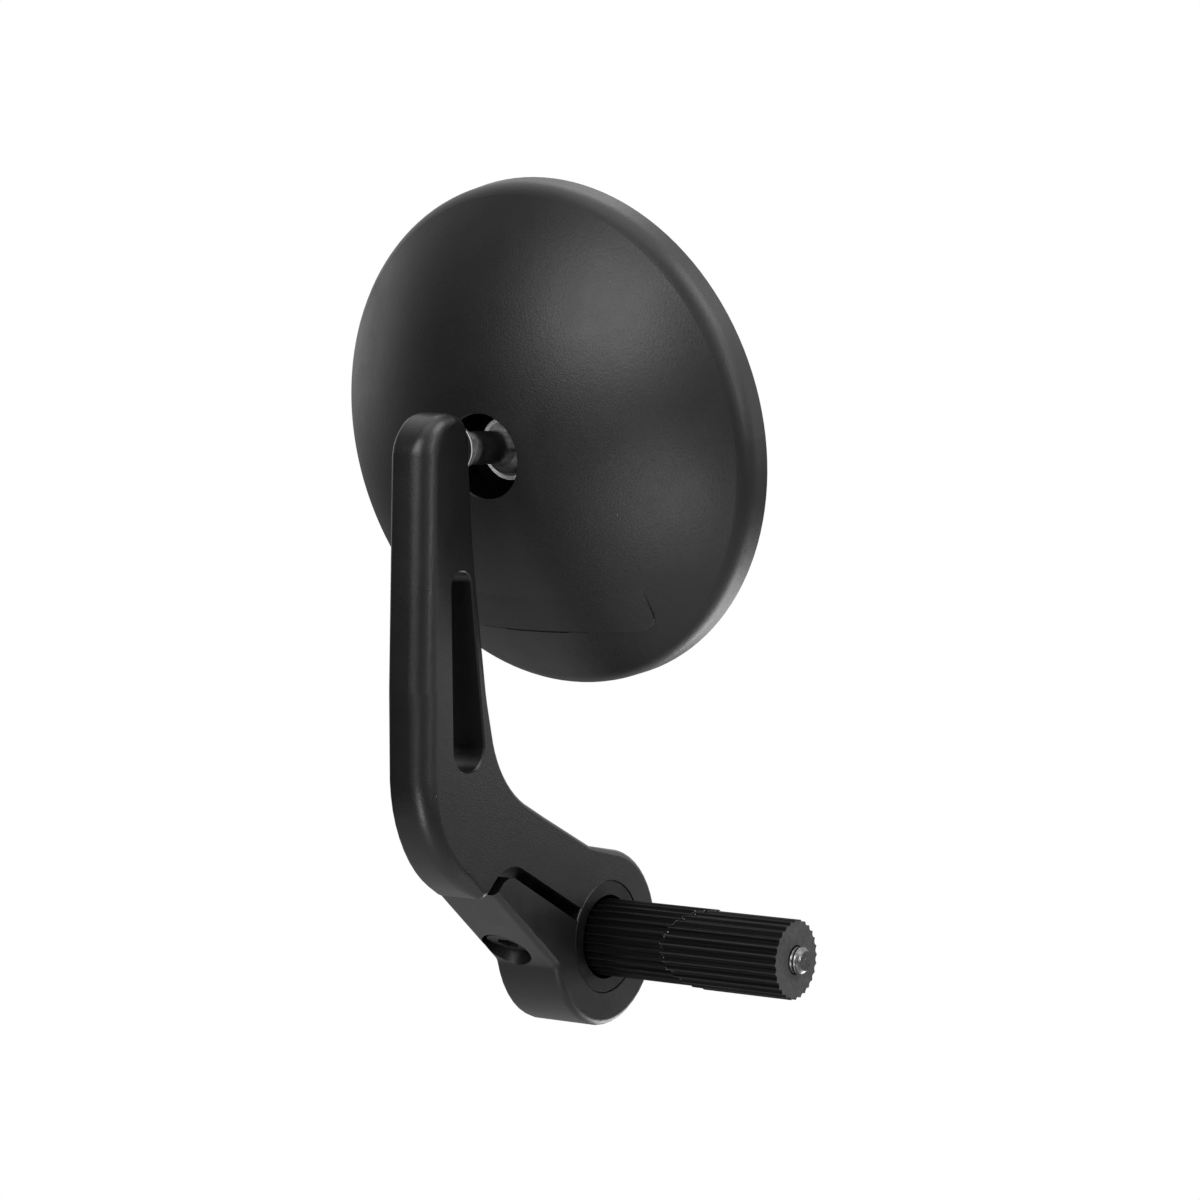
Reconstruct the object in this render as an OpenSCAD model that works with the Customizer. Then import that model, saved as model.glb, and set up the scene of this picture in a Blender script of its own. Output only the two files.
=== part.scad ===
// Round motorcycle mirror on a forged arm that clamps round a bar end bush.
// Origin: on the handlebar axis, in the face of the bush that meets the bar.
// +X runs into the handlebar, +Z is up, +Y is the side that the glass faces.

/* [Bush and expander] */
// Outer radius of the bar end bush
bush_r = 11; // [10:0.25:12]
// Length of the bush
bush_len = 16.5; // [15.5:0.5:18]
// Radius of the recess that the expander sleeve stands in
recess_r = 8.2; // [8:0.1:8.6]
// Depth of that recess
recess_depth = 6; // [5:0.5:6.5]
// Radius over the tips of the expander splines
spline_r = 7.55; // [7:0.05:7.8]
// Depth of one spline groove
spline_depth = 0.5; // [0.3:0.05:0.6]
// Number of splines round the expander
spline_count = 28; // [20:1:36]
// Distance from the bush face to the end of the wedge
expander_len = 43; // [40:0.5:60]
// Distance from the bush face to the slanted cut, on the axis
cut_x = 24.1; // [22:0.1:26]
// Slope of the cut along Y
cut_slope_y = 0.93; // [0.7:0.01:1]
// Slope of the cut along Z
cut_slope_z = -0.12; // [-0.3:0.01:0.3]
// How far the slack wedge hangs below the sleeve
wedge_drop = 0.35; // [0:0.05:0.4]
// Length of screw that stands out of the wedge
screw_tip = 2.1; // [0.5:0.1:4]

/* [Arm] */
// Thickness of the arm at its top
arm_t_top = 8.3; // [8:0.1:9.5]
// Thickness of the arm at the slot
arm_t_mid = 8.7; // [8:0.1:10]
// Thickness of the arm just above the clamp gap
arm_t_gap = 11; // [10:0.1:12.5]
// Thickness of the clamp ring
clamp_t = 15; // [14:0.1:16]
// Outer radius of the clamp ring
clamp_r = 17.4; // [16.5:0.1:18]
// Edge rounding along the outer side of the arm
edge_outer = 4; // [2:0.1:4]
// Edge rounding round the clamp
edge_clamp = 1.3; // [0.6:0.1:1.5]
// Edge rounding along the inner side of the arm
edge_inner = 0.8; // [0.5:0.1:1.2]
// Edge rounding at the back
edge_back = 1.2; // [0.6:0.1:1.5]

/* [Clamp screw] */
// Radius of the screw pocket
pocket_r = 5.1; // [4.8:0.1:5.3]
// Distance of the screw behind the front face of the clamp
clamp_screw_x = -9.4; // [-9.5:0.1:-7]

/* [Ball joint] */
// Radius of the ball
ball_r = 5.5; // [5.3:0.1:5.8]
// Radius of the stud's neck
neck_r = 3.1; // [2.8:0.1:3.2]
// Gap between a ball face and the face that runs on it
ball_gap = 0.1; // [0.05:0.01:0.1]
// Turn of the head away from the stud's axis, seen from above
head_yaw = -4.13; // [-10:0.01:10]
// Tilt of the glass upward
head_tilt_up = 10.83; // [0:0.01:15]

/* [Mirror head] */
// Outer radius of the head
head_r = 48.8; // [47:0.1:50]
// Distance from the ball's centre to the front of the rim
rim_front = 13.9; // [13.6:0.1:15]
// Radius of the dished back
dome_r = 74.6; // [70:0.1:80]
// Distance from the ball's centre to the dome's crown, without the hole
dome_crown = 9.6; // [9.4:0.1:10]
// Rounding between the rim and the dome
shoulder_r = 5.2; // [2:0.1:5.5]
// Wall thickness of the head
wall = 2.2; // [1.8:0.1:2.6]
// Radius of the hole that the stud passes through
hole_r = 8.1; // [8:0.1:9]
// Radius of the glass
glass_r = 47.2; // [46:0.1:47.2]
// Thickness of the glass
glass_t = 2; // [1.8:0.1:2.2]
// Radius of the glass's convex curve
glass_curve = 1200; // [600:50:1400]
// Height of the bare pad above the dome, at its lower edge
pad_height = 0.7; // [0.3:0.1:1]

/* [Hidden] */

$fn = 96;

// Centre of the ball: half the arm's thickness behind its face, level with the arm's round top
ball_at = [-4.4, -24.75, 95.95];

// Points of the arm's outline, in the plane of Y and Z
arm_top_z = 102.7;
arm_outer_y = -57.6;
arm_inner_y = -45.2;

// Clamp lines, each as the angle of its outward normal and its distance from the bore's centre
flat_line = [230.6, 13.4];
slope_line = [64, 14.1];
ring_lines = [[197, clamp_r - 0.35], [248, clamp_r - 0.1], [299, clamp_r],
              [350, clamp_r], [395, clamp_r - 0.2], [439, clamp_r - 0.4]];

function unit(v) = v / norm(v);
function left_of(v) = [-v[1], v[0]];
function turned(v, a) = [v[0] * cos(a) - v[1] * sin(a), v[0] * sin(a) + v[1] * cos(a)];

// Where two lines meet, each given as [angle of normal, distance]
function meet(a, b) =
    let (det = cos(a[0]) * sin(b[0]) - sin(a[0]) * cos(b[0]))
    [(a[1] * sin(b[0]) - b[1] * sin(a[0])) / det,
     (b[1] * cos(a[0]) - a[1] * cos(b[0])) / det];

// Signed turn at a corner, positive where the outline bends to the left
function corner_turn(u1, u2) = atan2(u1[0] * u2[1] - u1[1] * u2[0], u1 * u2);

// One rounded corner as a list of [y, z, inward normal y, inward normal z].
// Its points lie on the arc, half a step in from both ends.
function corner_arc(before, at, after, r, steps) =
    let (u1 = unit(at - before),
         u2 = unit(after - at),
         turn = corner_turn(u1, u2),
         side = turn >= 0 ? 1 : -1,
         n1 = left_of(u1),
         centre = at + side * r * (n1 + left_of(u2)) / (1 + u1 * u2))
    [for (k = [0 : steps - 1])
         let (n = turned(n1, turn * (k + 0.5) / steps))
         concat(centre - side * r * n, n)];

// A value along a corner: either one number, or [at its start, at its end], which changes
// fastest beside the larger of the two
function along_corner(v, u) =
    is_list(v) ? min(v) + abs(v[1] - v[0]) * pow(v[1] > v[0] ? u : 1 - u, 2) : v;

// Rounds every corner of an anticlockwise outline. A corner is [y, z, radius, steps, ...];
// whatever follows the steps is carried to each of its points.
function rounded(corners) =
    let (n = len(corners),
         p = [for (c = corners) [c[0], c[1]]])
    [for (i = [0 : n - 1])
         let (c = corners[i],
              arc = corner_arc(p[(i + n - 1) % n], p[i], p[(i + 1) % n], c[2], c[3]))
         each [for (k = [0 : c[3] - 1])
                   concat(arc[k], [for (m = [4 : 1 : len(c) - 1])
                                       along_corner(c[m], (k + 0.5) / c[3])])]];

// Moves each outline point inward by an amount and sets it at a height along X
function ring_at(outline, x, inset) =
    [for (p = outline) [x, p[0] + p[2] * inset, p[1] + p[3] * inset]];

// Side faces between rings of n points each
function side_faces(n, rings) =
    [for (k = [0 : rings - 2], i = [0 : n - 1])
         let (j = (i + 1) % n)
         each [[k * n + i, k * n + j, (k + 1) * n + j],
               [k * n + i, (k + 1) * n + j, (k + 1) * n + i]]];

// Triangles that close a ring: rungs join point a and those after it to the points before it
function ladder(n, a) =
    let (rungs = floor(n / 2))
    concat([for (k = [0 : rungs - 2])
                let (p = (a + k) % n,
                     r = (a + n - k - 2) % n)
                each [[p, (p + 1) % n, r], [p, r, (r + 1) % n]]],
           n % 2 == 0 ? [] : [[(a + rungs - 1) % n, (a + rungs) % n, (a + rungs + 1) % n]]);

// Solid through a stack of rings, listed from +X to -X, closed by rungs from point a
module skin(rings, a = 0) {
    n = len(rings[0]);
    m = len(rings);
    base = (m - 1) * n;
    polyhedron(points = [for (r = rings) each r],
               faces = concat(side_faces(n, m),
                              [for (t = ladder(n, a)) [t[2], t[1], t[0]]],
                              [for (t = ladder(n, a)) [base + t[0], base + t[1], base + t[2]]]));
}

// Arm: corners as [y, z, radius, steps, front edge rounding, thickness]
top_steps = 8;
elbow_steps = 10;
arm_t_elbow_end = 10.3;
ring_steps = 6;
arm_corners = concat(
    [[arm_inner_y, arm_top_z, 4.6, top_steps, [edge_inner, 2.4], arm_t_top],
     [arm_outer_y, arm_top_z, 8.6, top_steps, [2.6, edge_outer], arm_t_top],
     [-58.4, 52, 150, 2, edge_outer, arm_t_mid],
     [-58.3, 21, 26, elbow_steps, [edge_outer, 3], [arm_t_mid, arm_t_elbow_end]],
     [-40.5, 12.3, 1.9, 3, [1.7, 1.4], arm_t_gap],
     [-36.9, 13, 1.6, 4, edge_clamp, clamp_t]],
    [concat(meet(flat_line, ring_lines[0]), [3, 4, edge_clamp, clamp_t])],
    [for (i = [0 : len(ring_lines) - 2])
         concat(meet(ring_lines[i], ring_lines[i + 1]),
                [clamp_r - 0.4, ring_steps, edge_clamp, clamp_t])],
    [concat(meet(ring_lines[5], slope_line), [2, 3, edge_inner, clamp_t]),
     [-14, 22.5, 0, 1, edge_inner, clamp_t],
     [-20.3, 25.57, 0, 1, edge_inner, arm_t_gap],
     [-34.9, 32.9, 21, elbow_steps, edge_inner, [arm_t_elbow_end, arm_t_mid]],
     [-39.1, 50, 60, 2, edge_inner, arm_t_mid],
     [-43, 75.6, 150, 2, edge_inner, arm_t_mid]]);
arm_outline = rounded(arm_corners);
arm_front_steps = 5;
arm_back_steps = 3;

// The rungs start between the two top corners. Both sides hold the same number of points down
// to the clamp, so that one rung is the clamp's edge and its back stays flat.
module arm_blank() {
    front = [for (k = [0 : arm_front_steps])
                 let (a = 90 - 90 * k / arm_front_steps)
                 [for (p = arm_outline)
                      [-p[4] * (1 - sin(a)),
                       p[0] + p[2] * p[4] * (1 - cos(a)),
                       p[1] + p[3] * p[4] * (1 - cos(a))]]];
    back = [for (k = [0 : arm_back_steps])
                let (a = 90 * k / arm_back_steps)
                [for (p = arm_outline)
                     [-p[5] + edge_back * (1 - sin(a)),
                      p[0] + p[2] * edge_back * (1 - cos(a)),
                      p[1] + p[3] * edge_back * (1 - cos(a))]]];
    skin(concat(front, back), top_steps);
}

// Slot in the arm, wider at the elbow, with a broken edge at the front
module arm_slot() {
    slot = rounded([[-44.3, 73.6, 2.75, 7], [-50, 73.6, 2.75, 7],
                    [-49.4, 36.7, 4.45, 7], [-39.6, 36.7, 4.45, 7]]);
    skin([ring_at(slot, 1, -0.3), ring_at(slot, 0, -0.3), ring_at(slot, -0.3, 0),
          ring_at(slot, -clamp_t, 0)]);
}

// Gap that splits the clamp, from the bore out to the lobe's tip
module clamp_gap() {
    gap = rounded([[-6, 5.2, 0, 1], [-32.8, 19.2, 8, 7], [-44, 9.2, 0, 1],
                   [-40.4, 9.2, 0, 1], [-32.55, 16.3, 4, 6], [-6, 2.1, 0, 1]]);
    skin([ring_at(gap, 1, 0), ring_at(gap, -clamp_t - 1, 0)]);
}

// Frame of the clamp screw: its axis crosses the gap at right angles
screw_lean = 28;
screw_foot = [-15.75, 8.42];
head_under = -3.9;
module on_clamp_screw() {
    translate([clamp_screw_x, screw_foot[0], screw_foot[1]]) rotate([-screw_lean, 0, 0]) children();
}

clamp_screw_len = 12;
clamp_screw_r = 2.5;
stud_thread_r = 4;
stud_thread_len = 9.5;
seat_y = -45;
bore_gap = 0.05;

module arm() {
    color("#17181a") difference() {
        arm_blank();
        translate([-clamp_t - 1, 0, 0]) rotate([0, 90, 0]) cylinder(r = bush_r + bore_gap, h = clamp_t + 2);
        arm_slot();
        clamp_gap();
        on_clamp_screw() {
            translate([0, 0, head_under - 20]) cylinder(r = pocket_r, h = 20);
            translate([0, 0, head_under - 1]) cylinder(r = clamp_screw_r + 0.2, h = 5);
            translate([0, 0, 0]) cylinder(r = clamp_screw_r, h = clamp_screw_len + head_under + 1);
        }
        translate([ball_at[0], seat_y, ball_at[2]]) rotate([-90, 0, 0]) cylinder(r = 5.2, h = 8);
        translate([ball_at[0], seat_y - stud_thread_len - 0.5, ball_at[2]])
            rotate([-90, 0, 0]) cylinder(r = stud_thread_r, h = stud_thread_len + 2);
    }
}

// Socket head cap screw, head below zero, shank above
module cap_screw(r, head_r, head_h, len, key_r, tip) {
    difference() {
        union() {
            translate([0, 0, -head_h]) cylinder(r = head_r, h = head_h - 0.3);
            translate([0, 0, -0.3]) cylinder(r = head_r - 0.25, h = 0.3);
            cylinder(r = r, h = len - tip);
            translate([0, 0, len - tip]) cylinder(r1 = r, r2 = r - tip, h = tip);
        }
        translate([0, 0, -head_h - 1]) cylinder(r = key_r, h = 1 + head_h * 0.6, $fn = 6);
    }
}

module clamp_screw() {
    color("#2b2c2e") on_clamp_screw() translate([0, 0, head_under])
        cap_screw(clamp_screw_r - 0.05, 4.25, 5, clamp_screw_len, 2.31, 0.5);
}

// Ball stud: thread in the arm, conical foot, neck that flares into the ball
foot_r = 4.5;
foot_edge_r = 4;
foot_edge = 2.4;
foot_len = 3.8;
neck_len = 12.7;
flare_r = 3.6;
washer_t = 0.6;
module ball_stud() {
    foot_y = seat_y + washer_t;
    reach = ball_at[1] - foot_y;
    flare_at = reach - sqrt(ball_r * ball_r - flare_r * flare_r);
    color("#1c1c1e") translate([ball_at[0], foot_y, ball_at[2]]) rotate([-90, 0, 0]) {
        translate([0, 0, -washer_t - stud_thread_len]) cylinder(r = stud_thread_r - 0.05, h = stud_thread_len + washer_t);
        cylinder(r1 = foot_r, r2 = foot_edge_r, h = foot_edge);
        translate([0, 0, foot_edge]) cylinder(r1 = foot_edge_r, r2 = neck_r, h = foot_len - foot_edge);
        cylinder(r = neck_r, h = neck_len);
        translate([0, 0, neck_len]) cylinder(r1 = neck_r, r2 = flare_r, h = flare_at - neck_len);
        translate([0, 0, reach]) sphere(r = ball_r);
    }
}

module stud_washer() {
    color("#c8cacc") translate([ball_at[0], seat_y, ball_at[2]]) rotate([-90, 0, 0]) difference() {
        cylinder(r = 4.9, h = washer_t);
        translate([0, 0, -1]) cylinder(r = stud_thread_r, h = 3);
    }
}

// Bush with the sleeve's recess on the bar side and a counterbore for the screw's head
screw_r = 2.55;
floor_x = -recess_depth - 3;
head_bore_r = 6;
module bush() {
    color("#202124") rotate([0, -90, 0]) difference() {
        union() {
            cylinder(r1 = bush_r - 0.35, r2 = bush_r, h = 0.35);
            translate([0, 0, 0.35]) cylinder(r = bush_r, h = bush_len - 0.95);
            translate([0, 0, bush_len - 0.6]) cylinder(r1 = bush_r, r2 = bush_r - 0.6, h = 0.6);
        }
        translate([0, 0, -1]) cylinder(r = recess_r, h = recess_depth + 1);
        translate([-wedge_drop, 0, 0]) cylinder(r = screw_r + 0.4, h = bush_len);
        translate([-wedge_drop, 0, -floor_x]) cylinder(r = head_bore_r, h = bush_len);
    }
}

// Cross-section of the expander: sharp crests with rounded grooves between them
groove_points = 6;
module spline_section(r) {
    polygon([for (k = [0 : spline_count - 1], g = [0 : groove_points - 1])
                 let (u = g / groove_points,
                      a = 360 * (k + u) / spline_count,
                      q = r - spline_depth * sin(180 * u))
                 [q * cos(a), q * sin(a)]]);
}

// Everything on the bar side of the slanted cut
module beyond_cut(gap) {
    a = atan(cut_slope_y);
    b = atan(cut_slope_z * cos(a));
    translate([cut_x + gap, 0, 0]) rotate([0, 0, -a]) rotate([0, b, 0])
        translate([0, -60, -60]) cube(120);
}

module along_x(x, len) {
    translate([x, 0, 0]) rotate([90, 0, 90]) linear_extrude(len) children();
}

module expander_sleeve() {
    color("#101113") difference() {
        along_x(-recess_depth, expander_len) spline_section(spline_r - 0.05);
        beyond_cut(0);
        translate([-30, 0, -wedge_drop]) rotate([0, 90, 0]) cylinder(r = screw_r + 0.4, h = 90);
    }
}

module expander_wedge() {
    color("#101113") difference() {
        intersection() {
            translate([0, 0, -wedge_drop]) along_x(0, expander_len) spline_section(spline_r + 0.05);
            beyond_cut(0.02);
        }
        translate([-30, 0, -wedge_drop]) rotate([0, 90, 0]) cylinder(r = screw_r + 0.25, h = 90);
    }
}

screw_washer_t = 1;
module expander_screw() {
    head_x = floor_x - screw_washer_t;
    color("#3a3b3d") translate([head_x, 0, -wedge_drop]) rotate([0, 90, 0])
        cap_screw(screw_r, 4.25, 5, expander_len + screw_tip - head_x, 2.31, 0.7);
}

module expander_washer() {
    color("#8a8c8f") translate([floor_x - screw_washer_t, 0, -wedge_drop]) rotate([0, 90, 0]) difference() {
        cylinder(r = 5.5, h = screw_washer_t);
        translate([0, 0, -1]) cylinder(r = screw_r + 0.2, h = 3);
    }
}

// Frame of the head: +Z points out of its back, +Y up, the ball's centre at its origin
module on_head() {
    translate(ball_at) rotate([90 + head_tilt_up, 0, head_yaw]) children();
}

// The ball's seat shares the head's turn but not its tilt
module on_seat() {
    translate(ball_at) rotate([90, 0, head_yaw]) children();
}

seat_out_r = 6.9;
cup_r = 9;
socket_r = 9.1;
module ball_seat() {
    color("#d8d6cc") on_seat() difference() {
        sphere(r = seat_out_r);
        sphere(r = ball_r + ball_gap);
        translate([0, 0, 8.6]) cube([20, 20, 20], center = true);
    }
}

cup_top = -1.2;
cup_foot = -8;
module pressure_cup() {
    color("#9a9c9e") on_head() difference() {
        translate([0, 0, cup_foot]) cylinder(r = cup_r, h = cup_top - cup_foot);
        sphere(r = seat_out_r + ball_gap);
    }
}

// Head: exact arcs in the half-plane of radius and depth
dome_centre = dome_crown - dome_r;
shoulder_at = head_r - 0.2 - shoulder_r;
function dome_depth(q) = dome_centre + sqrt(dome_r * dome_r - q * q);
shoulder_depth = dome_centre + sqrt(pow(dome_r - shoulder_r, 2) - pow(shoulder_at, 2));
shoulder_meet = shoulder_at * dome_r / (dome_r - shoulder_r);
cavity_r = 43.5;
shelf = -10;
glass_back = -10.8;

module head_section() {
    intersection() {
        translate([0, dome_centre]) circle(r = dome_r, $fn = 360);
        translate([0, -rim_front]) square([shoulder_meet, 60]);
    }
    translate([shoulder_at, shoulder_depth]) intersection() {
        circle(r = shoulder_r);
        translate([-shoulder_r, -1]) square([2 * shoulder_r, 10]);
    }
    polygon([[0, -rim_front], [head_r - 0.4, -rim_front], [head_r, -rim_front + 0.4],
             [head_r - 0.2, shoulder_depth], [0, shoulder_depth]]);
}

plate_back = -8.9;
plate_t = 1;
boss_pcd_r = 15.5;
boss_r = 2.8;
ledge_front = 2.1;
ledge_back = 2.6;
ledge_r = 6;
ring_t = 0.8;
hole_edge = 0.3;
module at_bosses() {
    for (a = [90, 210, 330]) rotate(a) translate([boss_pcd_r, 0, 0]) children();
}

module pad() {
    slope_y = 6.6 * pad_height;
    slope_d = 2.45 * pad_height;
    intersection() {
        translate([0, -slope_y, dome_centre - slope_d]) sphere(r = dome_r, $fn = 360);
        translate([0, 0, -8]) linear_extrude(16) polygon([for (p = rounded([
            [26.5, -35.5, 4, 6], [26.5, -14, 4, 6], [-26.5, -14, 4, 6], [-26.5, -35.5, 4, 6]])) [p[0], p[1]]]);
    }
}

module mirror_housing() {
    color("#1b1c1e") on_head() difference() {
        union() {
            rotate_extrude($fn = 180) head_section();
            pad();
        }
        // Cavity, with the socket's tube and the screw bosses left standing
        difference() {
            rotate_extrude($fn = 180) intersection() {
                translate([0, dome_centre]) circle(r = dome_r - wall, $fn = 360);
                translate([0, -40]) square([cavity_r, 80]);
            }
            translate([0, 0, plate_back + 0.4]) cylinder(r = 12, h = 30);
            at_bosses() translate([0, 0, plate_back]) cylinder(r = boss_r, h = 30);
        }
        translate([0, 0, -30]) cylinder(r = glass_r + 0.25, h = 30 + shelf);
        translate([0, 0, ledge_back]) cylinder(r = hole_r, h = 20);
        translate([0, 0, dome_depth(hole_r) - hole_edge]) cylinder(r1 = hole_r, r2 = hole_r + 3, h = 3);
        cylinder(r = ledge_r, h = 20);
        translate([0, 0, -30]) cylinder(r = socket_r, h = 30 + ledge_front);
        at_bosses() translate([0, 0, plate_back - 1]) cylinder(r = 1.5, h = 8);
    }
}

module retaining_ring() {
    color("#d2d4d6") on_head() difference() {
        translate([0, 0, ledge_front - ring_t]) cylinder(r = socket_r - 0.05, h = ring_t);
        sphere(r = ball_r + ball_gap);
    }
}

spring_t = 0.45;
spring_top = cup_foot - 0.05;
module seat_spring() {
    color("#a8aaac") on_head() rotate_extrude()
        polygon([[3.6, plate_back], [4.4, plate_back], [8.6, spring_top - spring_t],
                 [8.6, spring_top], [7.9, spring_top], [3.6, plate_back + spring_t]]);
}

module cover_plate() {
    color("#8c8e91") on_head() difference() {
        translate([0, 0, plate_back - plate_t]) cylinder(r = 18.6, h = plate_t);
        translate([0, 0, plate_back - plate_t - 1]) cylinder(r = 2.6, h = 4);
        at_bosses() translate([0, 0, plate_back - plate_t - 1]) cylinder(r = 1.7, h = 4);
    }
}

module plate_screws() {
    color("#b4b6b8") on_head() at_bosses() translate([0, 0, plate_back - plate_t])
        cap_screw(1.45, 2.6, 1.2, 6.5, 0.9, 0.3);
}

module glass_tape() {
    color("#303030") on_head() difference() {
        translate([0, 0, glass_back + 0.02]) cylinder(r = 46.6, h = shelf - glass_back - 0.02);
        translate([0, 0, glass_back - 1]) cylinder(r = 44, h = 4);
    }
}

// Convex glass, silvered at the back
module mirror_glass() {
    function bulge(q) = (glass_r * glass_r - q * q) / (2 * glass_curve);
    radii = [for (k = [0 : 8]) glass_r * k / 8];
    color("#c9d3da") on_head() rotate_extrude($fn = 180)
        polygon(concat([for (q = radii) [q, glass_back - bulge(q)]],
                       [for (k = [8 : -1 : 0]) [radii[k], glass_back - glass_t - bulge(radii[k])]]));
}

bush();
expander_sleeve();
expander_wedge();
expander_screw();
expander_washer();
arm();
clamp_screw();
ball_stud();
stud_washer();
ball_seat();
pressure_cup();
mirror_housing();
retaining_ring();
seat_spring();
cover_plate();
plate_screws();
glass_tape();
mirror_glass();
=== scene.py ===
import math

import bmesh
import bpy
from mathutils import Matrix, Vector

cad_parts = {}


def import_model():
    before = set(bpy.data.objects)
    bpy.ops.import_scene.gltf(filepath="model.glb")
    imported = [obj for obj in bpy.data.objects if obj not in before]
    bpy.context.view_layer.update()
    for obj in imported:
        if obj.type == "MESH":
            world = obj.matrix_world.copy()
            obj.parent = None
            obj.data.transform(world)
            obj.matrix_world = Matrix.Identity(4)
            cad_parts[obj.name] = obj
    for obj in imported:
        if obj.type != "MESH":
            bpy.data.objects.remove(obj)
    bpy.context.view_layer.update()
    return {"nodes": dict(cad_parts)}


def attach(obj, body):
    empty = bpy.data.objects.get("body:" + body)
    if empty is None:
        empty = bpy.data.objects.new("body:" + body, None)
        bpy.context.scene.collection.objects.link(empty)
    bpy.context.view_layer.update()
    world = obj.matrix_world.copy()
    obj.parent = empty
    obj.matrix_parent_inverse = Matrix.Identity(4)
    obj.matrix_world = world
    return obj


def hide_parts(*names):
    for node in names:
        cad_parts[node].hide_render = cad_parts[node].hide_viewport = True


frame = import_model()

nodes = frame["nodes"]

MM = 0.001
CENTRE = Vector((0.0, -0.040, 0.055))

# The slanted cut through the expander: X = CUT_X + CUT_Y * Y + CUT_Z * Z
CUT_X = 24.1 * MM
CUT_Y = 0.93
CUT_Z = -0.12
PLUG_END = 43 * MM
WEDGE_DROP = 0.35 * MM
CREST_R = 7.5 * MM

# The ball's centre, the way out of the head's back, and the hole and the foot of the stud
BALL = Vector((-4.4, -24.75, 95.95)) * MM
HEAD_OUT = Vector((-0.07073695, -0.97963847, -0.18789561))
HOLE_R = 8.1 * MM
SEAT_FACE = -44.42 * MM
FOOT_EDGE = -41.7 * MM
FOOT_END = -38.6 * MM
BRIGHT_R = 7.6 * MM
WASHER_MIDDLE = -44.66 * MM

# The head's own directions up and to the side, and the lower edge of the bare pad on its back
HEAD_UP = Vector((-0.01353, -0.18741, 0.98219))
HEAD_SIDE = HEAD_UP.cross(HEAD_OUT)
PAD_LOW = -35.5 * MM
PAD_HALF = 25.5 * MM

BUSH_R = 11.0 * MM
BUSH_FACE = max((nodes["bush"].matrix_world @ Vector(c)).x for c in nodes["bush"].bound_box)

# The photo's viewpoint, fitted to the bush, the plug's end and the head's rim
CAMERA_PLACE = (0.39195, -0.57198, 0.11604)
CAMERA_DOWN = 4.15
CAMERA_AZIMUTH = 34.54
CAMERA_LENS = 107.82
SENSOR_WIDTH = 36

FLOOR_Z = -0.55
FLOOR_RADIUS = 1.3

# The middle of the side that is dark where the object mirrors the studio: azimuth, elevation
DARK_SIDE = (-22, -12)
WORLD_FILL = 0.30


# Node helpers

class Nodes:
    """A node tree, with short calls for the nodes that the finishes and the world share."""

    def __init__(self, tree):
        self.tree = tree
        tree.nodes.clear()

    def add(self, kind, **settings):
        node = self.tree.nodes.new(kind)
        for key, value in settings.items():
            setattr(node, key, value)
        return node

    def link(self, source, target):
        self.tree.links.new(source, target)

    def put(self, target, value):
        if isinstance(value, bpy.types.NodeSocket):
            self.link(value, target)
        else:
            target.default_value = value

    def maths(self, operation, a, b=0.0, c=0.0):
        node = self.add("ShaderNodeMath", operation=operation)
        for target, value in zip(node.inputs, (a, b, c)):
            self.put(target, value)
        return node.outputs[0]

    def spread(self, value, low, high, to_low=0.0, to_high=1.0, shape="LINEAR"):
        node = self.add("ShaderNodeMapRange", clamp=True, interpolation_type=shape)
        for target, number in zip(node.inputs, (value, low, high, to_low, to_high)):
            self.put(target, number)
        return node.outputs[0]

    def parts(self, vector):
        node = self.add("ShaderNodeSeparateXYZ")
        self.link(vector, node.inputs[0])
        return node.outputs

    def dot(self, vector, direction):
        node = self.add("ShaderNodeVectorMath", operation="DOT_PRODUCT")
        self.link(vector, node.inputs[0])
        node.inputs[1].default_value = direction
        return node.outputs["Value"]


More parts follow.
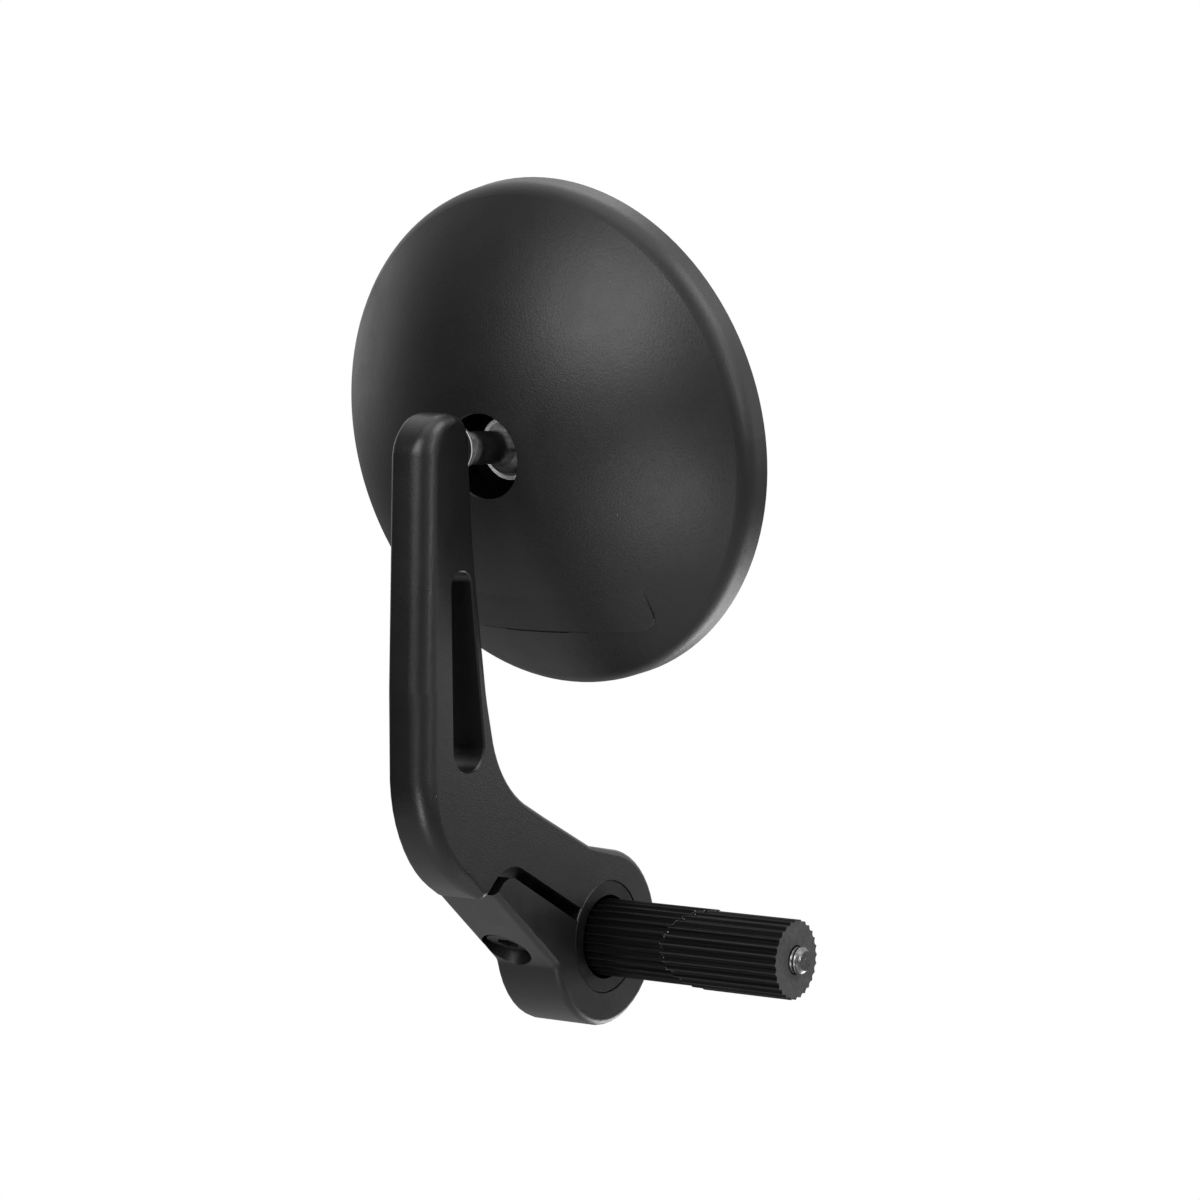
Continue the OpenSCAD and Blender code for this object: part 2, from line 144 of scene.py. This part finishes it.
class Shade(Nodes):
    """One material's node tree, with short calls for what every finish here uses."""

    def __init__(self, name):
        self.material = bpy.data.materials.new(name)
        self.material.use_nodes = True
        super().__init__(self.material.node_tree)
        output = self.add("ShaderNodeOutputMaterial")
        self.shader = self.add("ShaderNodeBsdfPrincipled")
        self.link(self.shader.outputs[0], output.inputs[0])
        self.place = self.add("ShaderNodeTexCoord").outputs["Object"]

    def fix(self, **values):
        """Sets constants on the shader's own sockets."""
        for key, value in values.items():
            self.shader.inputs[key.replace("_", " ")].default_value = value

    def feed(self, socket, value):
        self.link(value, self.shader.inputs[socket])

    def noise(self, scale, detail=2.0, rough=0.5, stretch=None):
        where = self.place
        if stretch:
            mapping = self.add("ShaderNodeMapping")
            self.link(where, mapping.inputs["Vector"])
            mapping.inputs["Scale"].default_value = stretch
            where = mapping.outputs["Vector"]
        node = self.add("ShaderNodeTexNoise")
        self.link(where, node.inputs["Vector"])
        node.inputs["Scale"].default_value = scale
        node.inputs["Detail"].default_value = detail
        node.inputs["Roughness"].default_value = rough
        return node.outputs[0]

    def cells(self, scale):
        node = self.add("ShaderNodeTexVoronoi")
        self.link(self.place, node.inputs["Vector"])
        node.inputs["Scale"].default_value = scale
        return node.outputs["Distance"]

    def mix(self, amount, a, b):
        node = self.add("ShaderNodeMix", data_type="RGBA")
        self.put(node.inputs["Factor"], amount)
        colours = [s for s in node.inputs if s.type == "RGBA"]
        self.put(colours[0], a)
        self.put(colours[1], b)
        return [s for s in node.outputs if s.type == "RGBA"][0]

    def axes(self):
        return self.parts(self.place)

    def radius(self, a, b):
        return self.maths("SQRT", self.maths("ADD", self.maths("MULTIPLY", a, a),
                                             self.maths("MULTIPLY", b, b)))

    def from_ball(self):
        node = self.add("ShaderNodeVectorMath", operation="SUBTRACT")
        self.link(self.place, node.inputs[0])
        node.inputs[1].default_value = BALL
        return node.outputs[0]

    def along(self, direction):
        """How far a spot lies from the ball in the given direction."""
        return self.dot(self.from_ball(), direction)

    def within(self, value, middle, half):
        """1 where the value is less than half away from the middle, else 0."""
        offset = self.maths("ABSOLUTE", self.maths("SUBTRACT", value, middle))
        return self.maths("LESS_THAN", offset, half)

    def length(self, vector):
        node = self.add("ShaderNodeVectorMath", operation="LENGTH")
        self.link(vector, node.inputs[0])
        return node.outputs["Value"]

    def from_head_axis(self):
        """Distance from the line through the ball, along the way out of the head's back."""
        node = self.add("ShaderNodeVectorMath", operation="CROSS_PRODUCT")
        self.link(self.from_ball(), node.inputs[0])
        node.inputs[1].default_value = HEAD_OUT
        return self.length(node.outputs[0])

    def bump(self, height, depth, under=None):
        node = self.add("ShaderNodeBump")
        node.inputs["Distance"].default_value = depth
        self.link(height, node.inputs["Height"])
        if under is not None:
            self.link(under, node.inputs["Normal"])
        return node.outputs["Normal"]


def grey(value):
    return (value, value, value * 1.02, 1.0)


def tint(r, g, b):
    return (r, g, b, 1.0)


# Finishes

def unlit_places(s):
    """Painted shade: black in the housing's hole, and a painted shadow line in the crease under
    the pad.
    """
    inside = s.maths("LESS_THAN", s.from_head_axis(), HOLE_R + 0.03 * MM)
    # Painted shadow: a dark line along the crease under the pad's lower edge.
    crease = s.maths("MULTIPLY", s.within(s.along(HEAD_UP), PAD_LOW - 0.12 * MM, 0.27 * MM),
                     s.within(s.along(HEAD_SIDE), 0.0, PAD_HALF))
    outside = s.maths("GREATER_THAN", s.along(HEAD_OUT), 0.0)
    darkness = s.maths("MULTIPLY", s.maths("MULTIPLY", crease, outside), 0.8)
    return s.maths("MAXIMUM", inside, darkness)


def powder_coat(name, dark, light, rough, grain, grain_depth, housing=False):
    """Baked coat: fine leather-like grain, faint clouds in colour and gloss, a few dust specks."""
    s = Shade(name)
    clouds = s.noise(55, 3, 0.55)
    fine = s.noise(grain, 2, 0.6)
    specks = s.maths("LESS_THAN", s.cells(165), 0.022)
    chosen = s.maths("GREATER_THAN", s.noise(40, 0), 0.60)
    dust = s.maths("MULTIPLY", specks, chosen)
    coat = s.mix(s.spread(s.maths("ADD", clouds, s.maths("MULTIPLY", fine, 0.5)), 0.45, 1.05),
                 grey(dark), grey(light))
    colour = s.mix(dust, coat, grey(0.11))
    gloss = s.spread(s.maths("ADD", s.noise(90, 4, 0.6), s.maths("MULTIPLY", fine, 0.3)),
                     0.35, 1.0, rough - 0.05, rough + 0.06)
    if housing:
        # On the housing: painted shade in the hole and a painted shadow line under the pad, with
        # duller gloss there.
        unlit = unlit_places(s)
        colour = s.mix(unlit, colour, grey(0.0012))
        gloss = s.maths("MAXIMUM", gloss, s.maths("MULTIPLY", unlit, 0.9))
        s.feed("Specular IOR Level", s.maths("MULTIPLY_ADD", unlit, -0.45, 0.5))
    s.feed("Base Color", colour)
    s.feed("Roughness", gloss)
    s.fix(IOR=1.47)
    orange_peel = s.bump(s.noise(grain * 0.22, 1, 0.4), grain_depth * 0.4)
    s.feed("Normal", s.bump(fine, grain_depth, orange_peel))
    return s.material


def turned_anodised(name):
    """Black anodised and turned: rings round the bar's axis, and a painted highlight, a light line
    round the face's outer edge.
    """
    s = Shade(name)
    x, y, z = s.axes()
    r = s.radius(y, z)
    ring_pitch = 0.22 * MM
    rings = s.maths("SINE", s.maths("MULTIPLY", s.maths("ADD", r, x), 2 * math.pi / ring_pitch))
    uneven = s.noise(420, 2, 0.5)
    at_face = s.maths("GREATER_THAN", x, BUSH_FACE - 0.25 * MM)
    # Painted highlight: a light line round the bush's outer edge at its face.
    edge = s.maths("MULTIPLY", s.within(r, BUSH_R, 0.16 * MM), at_face)
    turned = s.mix(s.spread(s.maths("ADD", uneven, s.maths("MULTIPLY", rings, 0.08)), 0.3, 0.8),
                   grey(0.0018), grey(0.0038))
    s.feed("Base Color", s.mix(edge, turned, grey(0.15)))
    s.feed("Roughness", s.spread(uneven, 0.3, 0.7, 0.34, 0.46))
    s.fix(IOR=1.32)
    s.feed("Normal", s.bump(s.maths("ADD", rings, s.maths("MULTIPLY", uneven, 2.0)), 0.0035 * MM))
    return s.material


def splined_black(name, drop):
    """Expander: drawn black flanks, crests painted lighter than the flanks, bright burrs on the
    sawn cut, grey end.
    """
    s = Shade(name)
    x, y, z = s.axes()
    r = s.radius(y, s.maths("ADD", z, drop))
    drawn = s.noise(1500, 3, 0.6, stretch=(0.03, 1, 1))
    crest = s.spread(s.maths("ADD", r, s.maths("MULTIPLY", drawn, 0.10 * MM)),
                     CREST_R - 0.02 * MM, CREST_R + 0.08 * MM)
    end = s.spread(x, PLUG_END - 0.06 * MM, PLUG_END - 0.02 * MM)
    lean = s.maths("ADD", s.maths("MULTIPLY", y, CUT_Y), s.maths("MULTIPLY", z, CUT_Z))
    near_cut = s.within(s.maths("SUBTRACT", x, lean), CUT_X, 0.36 * MM)
    burr_noise = s.noise(2100, 2, 0.7)
    burrs = s.maths("MULTIPLY", s.spread(burr_noise, 0.58, 0.66), near_cut)
    flank = s.mix(s.spread(drawn, 0.3, 0.75), grey(0.0006), grey(0.0020))
    # The spline crests are painted lighter than the flanks.
    lighter_crests = s.mix(s.maths("MULTIPLY", crest, 0.5), flank, grey(0.045))
    scuffed = s.mix(s.spread(s.noise(900, 3, 0.65), 0.35, 0.7), grey(0.052), grey(0.078))
    s.feed("Base Color", s.mix(burrs, s.mix(end, lighter_crests, scuffed), grey(0.30)))
    s.feed("Roughness", s.mix(end, grey(0.36), grey(0.52)))
    s.feed("Metallic", s.maths("MULTIPLY", burrs, 0.5))
    s.fix(IOR=1.24)
    lines = s.bump(drawn, 0.012 * MM)
    s.feed("Normal", s.bump(s.maths("MULTIPLY", burr_noise, near_cut), 0.08 * MM, lines))
    return s.material


def black_oxide(name, dark, light, rough):
    """Blackened steel: slightly mottled, fine turning marks round the screw or stud."""
    s = Shade(name)
    mottle = s.noise(600, 3, 0.6)
    fine = s.noise(3800, 2, 0.5)
    s.feed("Base Color", s.mix(s.spread(mottle, 0.3, 0.7), grey(dark), grey(light)))
    s.feed("Roughness", s.spread(mottle, 0.3, 0.7, rough - 0.05, rough + 0.07))
    s.fix(Metallic=0.55, IOR=1.6)
    s.feed("Normal", s.bump(fine, 0.006 * MM))
    return s.material


def stud_steel(name):
    """Ball stud: bare turned foot, blackened neck, smeared ball with a painted highlight that
    lightens it towards the top.
    """
    s = Shade(name)
    y = s.axes()[1]
    foot = s.maths("MULTIPLY", s.spread(y, FOOT_EDGE, FOOT_END, 1.0, 0.0),
                   s.maths("GREATER_THAN", y, SEAT_FACE))
    ball = s.spread(s.length(s.from_ball()), BRIGHT_R - 0.8 * MM, BRIGHT_R, 1.0, 0.0)
    turning = s.noise(2600, 2, 0.6, stretch=(0.25, 1, 0.25))
    cloud = s.noise(700, 2, 0.5)
    smears = s.noise(330, 2, 0.5, stretch=(1, 1, 1.6))
    # Painted highlight: the ball and the flare beside it are painted lighter towards the top.
    painted_top_highlight = s.spread(s.along(Vector((0, 0, 1))), -0.5 * MM, 2.6 * MM)
    neck = s.mix(s.spread(cloud, 0.3, 0.7), grey(0.004), grey(0.009))
    bare = s.mix(s.spread(turning, 0.38, 0.66), grey(0.09), grey(0.34))
    dull = s.mix(s.spread(smears, 0.30, 0.70), grey(0.02), grey(0.20))
    bright = s.mix(s.spread(smears, 0.35, 0.60), grey(0.30), grey(0.72))
    s.feed("Base Color", s.mix(ball, s.mix(foot, neck, bare), s.mix(painted_top_highlight, dull, bright)))
    metal = s.maths("ADD", s.maths("MULTIPLY", foot, 0.3), s.maths("MULTIPLY", ball, 0.35))
    s.feed("Metallic", metal)
    s.feed("Roughness", s.spread(cloud, 0.3, 0.7, 0.34, 0.42))
    s.feed("Normal", s.bump(turning, 0.010 * MM))
    return s.material


def plated_steel(name, colour, rough, pitch, across, metal=1.0):
    """Bright steel: brushed round its axis by fine rings, with cloudy plating."""
    s = Shade(name)
    axes = s.axes()
    ring = s.maths("SINE", s.maths("MULTIPLY", axes[across], 2 * math.pi / pitch))
    cloud = s.noise(500, 3, 0.55)
    s.feed("Base Color", s.mix(s.spread(cloud, 0.3, 0.7), grey(colour * 0.86), grey(colour)))
    s.feed("Roughness", s.spread(cloud, 0.3, 0.7, rough - 0.05, rough + 0.06))
    s.fix(Metallic=metal)
    s.feed("Normal", s.bump(s.maths("ADD", ring, cloud), 0.003 * MM))
    return s.material


def washer_with_painted_shade(name):
    """Thin washer under the stud's foot: bright steel on the foot's side, and painted shade, dark,
    on the arm's side.
    """
    s = Shade(name)
    # Painted shade: the washer's half on the arm's side is painted dark.
    rim = s.maths("GREATER_THAN", s.axes()[1], WASHER_MIDDLE)
    cloud = s.noise(900, 2, 0.5)
    s.feed("Base Color", s.mix(rim, grey(0.02), grey(0.90)))
    s.feed("Roughness", s.spread(cloud, 0.3, 0.7, 0.30, 0.42))
    s.fix(Metallic=0.3)
    s.feed("Normal", s.bump(cloud, 0.006 * MM))
    return s.material


def screw_tip_steel(name):
    """Expander screw: dark thread on the shank, a chamfer painted bright as a highlight, and a
    grey end.
    """
    s = Shade(name)
    x, y, z = s.axes()
    angle = s.maths("ARCTAN2", z, y)
    pitch = 0.8 * MM
    turns = s.maths("ADD", s.maths("DIVIDE", x, pitch), s.maths("DIVIDE", angle, 2 * math.pi))
    thread = s.maths("PINGPONG", turns, 0.5)
    tip = PLUG_END + 2.1 * MM
    # Painted highlight: the chamfer is painted bright.
    chamfer = s.maths("MULTIPLY", s.spread(x, tip - 0.72 * MM, tip - 0.66 * MM),
                      s.maths("LESS_THAN", x, tip - 0.03 * MM))
    face = s.maths("GREATER_THAN", x, tip - 0.03 * MM)
    grime = s.noise(900, 3, 0.6)
    shank = s.mix(s.spread(s.maths("ADD", thread, s.maths("MULTIPLY", grime, 0.3)), 0.15, 0.6),
                  grey(0.02), grey(0.30))
    s.feed("Base Color", s.mix(face, s.mix(chamfer, shank, grey(0.17)), grey(0.12)))
    s.feed("Roughness", s.spread(grime, 0.3, 0.7, 0.24, 0.40))
    s.fix(Metallic=0.9)
    s.feed("Normal", s.bump(thread, 0.25 * MM))
    return s.material


def moulded_nylon(name):
    """Natural nylon: off-white, slightly clouded and see-through at its edges."""
    s = Shade(name)
    cloud = s.noise(300, 3, 0.5)
    s.feed("Base Color", s.mix(s.spread(cloud, 0.3, 0.7),
                               tint(0.60, 0.58, 0.50), tint(0.68, 0.66, 0.58)))
    s.feed("Roughness", s.spread(cloud, 0.3, 0.7, 0.42, 0.55))
    s.fix(Subsurface_Weight=0.08)
    s.feed("Normal", s.bump(s.noise(2500, 2), 0.01 * MM))
    return s.material


def foam(name):
    """Black foam tape with open pores."""
    s = Shade(name)
    pores = s.cells(2600)
    s.feed("Base Color", s.mix(s.spread(pores, 0.1, 0.6), grey(0.012), grey(0.04)))
    s.feed("Roughness", s.spread(pores, 0.0, 0.6, 0.85, 0.98))
    s.feed("Normal", s.bump(pores, 0.12 * MM))
    return s.material


def silvered_glass(name):
    """Mirror: silvered, with a faint blue tint and wiping marks."""
    s = Shade(name)
    wipe = s.noise(40, 4, 0.6, stretch=(1, 1, 5))
    s.feed("Base Color", s.mix(s.spread(wipe, 0.3, 0.7),
                               tint(0.80, 0.845, 0.86), tint(0.86, 0.89, 0.90)))
    s.feed("Roughness", s.spread(wipe, 0.35, 0.75, 0.015, 0.05))
    s.fix(Metallic=1.0)
    s.feed("Normal", s.bump(s.noise(25, 1), 0.002 * MM))
    return s.material


# Pieces

def skin_over_thread(work):
    """Closes the slit that the stud's threaded hole leaves in the arm's outer face.

    It is a closed strip along the slit, in millimetres. Its crown stands just proud of the arm,
    its long edges lie at the arm's face, and they turn in with the rounding beside the washer.
    """
    heights = (94.4, 95.2, 95.95, 96.7, 97.5)
    low_edge, crown, high_edge = -8.308, (-8.362, -8.372, -8.362), -8.288
    inside = -7.9
    turned_in = {-55.5: 0.0, -52.0: 0.0, -49.0: 0.0, -46.0: 0.0, -45.4: 0.12, -45.04: 0.24}
    rows = []
    for y, inwards in turned_in.items():
        xs = (low_edge + inwards, *crown, high_edge + inwards)
        outer = [work.verts.new(Vector((x, y, z)) * MM) for x, z in zip(xs, heights)]
        inner = [work.verts.new(Vector((inside, y, z)) * MM) for z in reversed(heights)]
        rows.append(outer + inner)
    count = len(rows[0])
    for a, b in zip(rows, rows[1:]):
        for k in range(count):
            work.faces.new((a[k], a[(k + 1) % count], b[(k + 1) % count], b[k]))
    work.faces.new(list(reversed(rows[0])))
    work.faces.new(rows[-1])


def smooth_copy(node, name, body, crease, addition=None):
    """The node's own shape with its facets blended, edges sharper than crease degrees kept."""
    mesh = bpy.data.meshes.new(name)
    work = bmesh.new()
    work.from_mesh(nodes[node].data)
    if addition:
        addition(work)
    bmesh.ops.remove_doubles(work, verts=work.verts, dist=0.002 * MM)
    limit = math.radians(crease)
    for edge in work.edges:
        turn = edge.calc_face_angle(math.pi)
        edge.smooth = turn < limit
    for face in work.faces:
        face.smooth = True
        face.material_index = 0
    work.to_mesh(mesh)
    work.free()
    copy = bpy.data.objects.new(name, mesh)
    bpy.context.scene.collection.objects.link(copy)
    weigh = copy.modifiers.new("weighted normals", "WEIGHTED_NORMAL")
    weigh.keep_sharp = True
    weigh.weight = 80
    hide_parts(node)
    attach(copy, body)
    return copy


def dress(obj, material):
    if obj.material_slots:
        for held in obj.material_slots:
            held.material = material
    else:
        obj.data.materials.append(material)


# Stage, lamps and camera

def towards(azimuth, elevation):
    """The way from the object to a viewer at these degrees; azimuth 0 is the -Y side."""
    a, e = math.radians(azimuth), math.radians(elevation)
    return Vector((math.sin(a) * math.cos(e), -math.cos(a) * math.cos(e), math.sin(e)))


def facing(place, direction):
    """Turns a lamp at that place so that it shines against the direction."""
    turn = direction.to_track_quat("Z", "Y").to_matrix().to_4x4()
    return Matrix.Translation(place) @ turn


def softbox(name, azimuth, elevation, distance, width, height, light):
    """Area lamp whose light on the object doesn't change with its distance."""
    lamp = bpy.data.lights.new(name, "AREA")
    lamp.shape = "RECTANGLE"
    lamp.size = width
    lamp.size_y = height
    lamp.energy = light * 4 * distance * distance
    obj = bpy.data.objects.new(name, lamp)
    bpy.context.scene.collection.objects.link(obj)
    direction = towards(azimuth, elevation)
    obj.matrix_world = facing(CENTRE + direction * distance, direction)


def glow(n, strength):
    """A white background of the given strength."""
    node = n.add("ShaderNodeBackground")
    node.inputs["Color"].default_value = (1, 1, 1, 1)
    n.put(node.inputs["Strength"], strength)
    return node.outputs[0]


def choose(n, amount, a, b):
    """Background a where the amount is 0, and b where it is 1."""
    node = n.add("ShaderNodeMixShader")
    for target, source in zip(node.inputs, (amount, a, b)):
        n.link(source, target)
    return node.outputs[0]


def mirrored_strength(n):
    """White beyond the object, dark on the photographed side, and darker low down."""
    where = n.add("ShaderNodeTexCoord").outputs["Generated"]
    side = n.dot(where, towards(*DARK_SIDE))
    by_side = n.spread(side, -0.15, 0.70, 1.0, 0.09, "SMOOTHSTEP")
    by_height = n.spread(n.parts(where)["Z"], -0.20, 0.12, 0.22, 1.0, "SMOOTHSTEP")
    return n.maths("MULTIPLY", by_side, by_height)


def world():
    """White where the camera looks, a partly dark studio where mirrored, else a soft fill."""
    sky = bpy.data.worlds.new("studio")
    sky.use_nodes = True
    n = Nodes(sky.node_tree)
    path = n.add("ShaderNodeLightPath").outputs
    seen = n.maths("MAXIMUM", path["Is Camera Ray"], path["Is Transmission Ray"])
    mirrored = glow(n, mirrored_strength(n))
    unseen = choose(n, path["Is Glossy Ray"], glow(n, WORLD_FILL), mirrored)
    output = n.add("ShaderNodeOutputWorld")
    n.link(choose(n, seen, unseen, glow(n, 1.0)), output.inputs["Surface"])
    bpy.context.scene.world = sky


def floor():
    mesh = bpy.data.meshes.new("floor")
    work = bmesh.new()
    bmesh.ops.create_circle(work, cap_ends=True, segments=96, radius=FLOOR_RADIUS)
    work.to_mesh(mesh)
    work.free()
    obj = bpy.data.objects.new("floor", mesh)
    bpy.context.scene.collection.objects.link(obj)
    obj.location = (0, 0, FLOOR_Z)
    s = Shade("pale_floor")
    s.feed("Base Color", s.mix(s.noise(6, 2), grey(0.70), grey(0.74)))
    s.fix(Roughness=0.85)
    dress(obj, s.material)


def camera():
    lens = bpy.data.cameras.new("photo_camera")
    lens.lens = CAMERA_LENS
    lens.sensor_width = SENSOR_WIDTH
    obj = bpy.data.objects.new("photo_camera", lens)
    bpy.context.scene.collection.objects.link(obj)
    obj.location = CAMERA_PLACE
    obj.rotation_euler = (math.radians(90 - CAMERA_DOWN), 0, math.radians(CAMERA_AZIMUTH))
    bpy.context.scene.camera = obj


arm_coat = powder_coat("arm_coat", 0.0035, 0.0060, 0.35, 2400, 0.030 * MM)
head_coat = powder_coat("head_coat", 0.0035, 0.0062, 0.43, 2100, 0.032 * MM, housing=True)

dress(smooth_copy("arm", "forged_arm", "arm", 32, skin_over_thread), arm_coat)
dress(smooth_copy("expander_sleeve", "splined_sleeve", "bar_end", 30),
      splined_black("sleeve_black", 0.0))
dress(smooth_copy("expander_wedge", "splined_wedge", "bar_end", 30),
      splined_black("wedge_black", WEDGE_DROP))

finishes = {
    "mirror_housing": head_coat,
    "bush": turned_anodised("bush_anodised"),
    "expander_screw": screw_tip_steel("tip_steel"),
    "expander_washer": plated_steel("washer_steel", 0.45, 0.35, 0.3 * MM, 1),
    "clamp_screw": black_oxide("clamp_screw_black", 0.004, 0.012, 0.48),
    "ball_stud": stud_steel("stud_steel"),
    "stud_washer": washer_with_painted_shade("stud_washer_steel"),
    "ball_seat": moulded_nylon("seat_nylon"),
    "pressure_cup": plated_steel("cup_steel", 0.50, 0.38, 0.4 * MM, 2),
    "retaining_ring": plated_steel("ring_bright", 1.0, 0.42, 0.3 * MM, 0, 0.15),
    "seat_spring": plated_steel("spring_steel", 0.42, 0.40, 0.3 * MM, 2),
    "cover_plate": plated_steel("plate_steel", 0.55, 0.36, 0.5 * MM, 2),
    "plate_screws": plated_steel("plate_screw_steel", 0.60, 0.30, 0.4 * MM, 1),
    "glass_tape": foam("foam_tape"),
    "mirror_glass": silvered_glass("silvered_glass"),
}
for node, finish in finishes.items():
    dress(nodes[node], finish)

world()
floor()

# Name, azimuth, elevation, distance, width, height, light
softboxes = (
    ("key", 0, 24, 0.85, 0.52, 0.50, 1.80),
    ("low_fill", 18, -31, 0.75, 0.26, 0.30, 0.66),
    ("left", -100, 8, 0.90, 0.35, 0.35, 0.08),
    ("right", 106, 46, 0.90, 0.45, 0.45, 1.05),
    ("ridge_strip", 88, 12, 0.90, 0.06, 0.40, 0.38),
    ("right_back", 142, 5, 0.90, 0.35, 0.30, 0.14),
    ("back_high", -160, 55, 0.80, 0.40, 0.30, 0.35),
    ("back_low", 168, -38, 0.70, 0.45, 0.25, 0.95),
    ("top", 20, 80, 0.90, 0.60, 0.60, 0.45),
)
for box in softboxes:
    softbox(*box)
camera()
bpy.context.scene.view_settings.view_transform = "Standard"
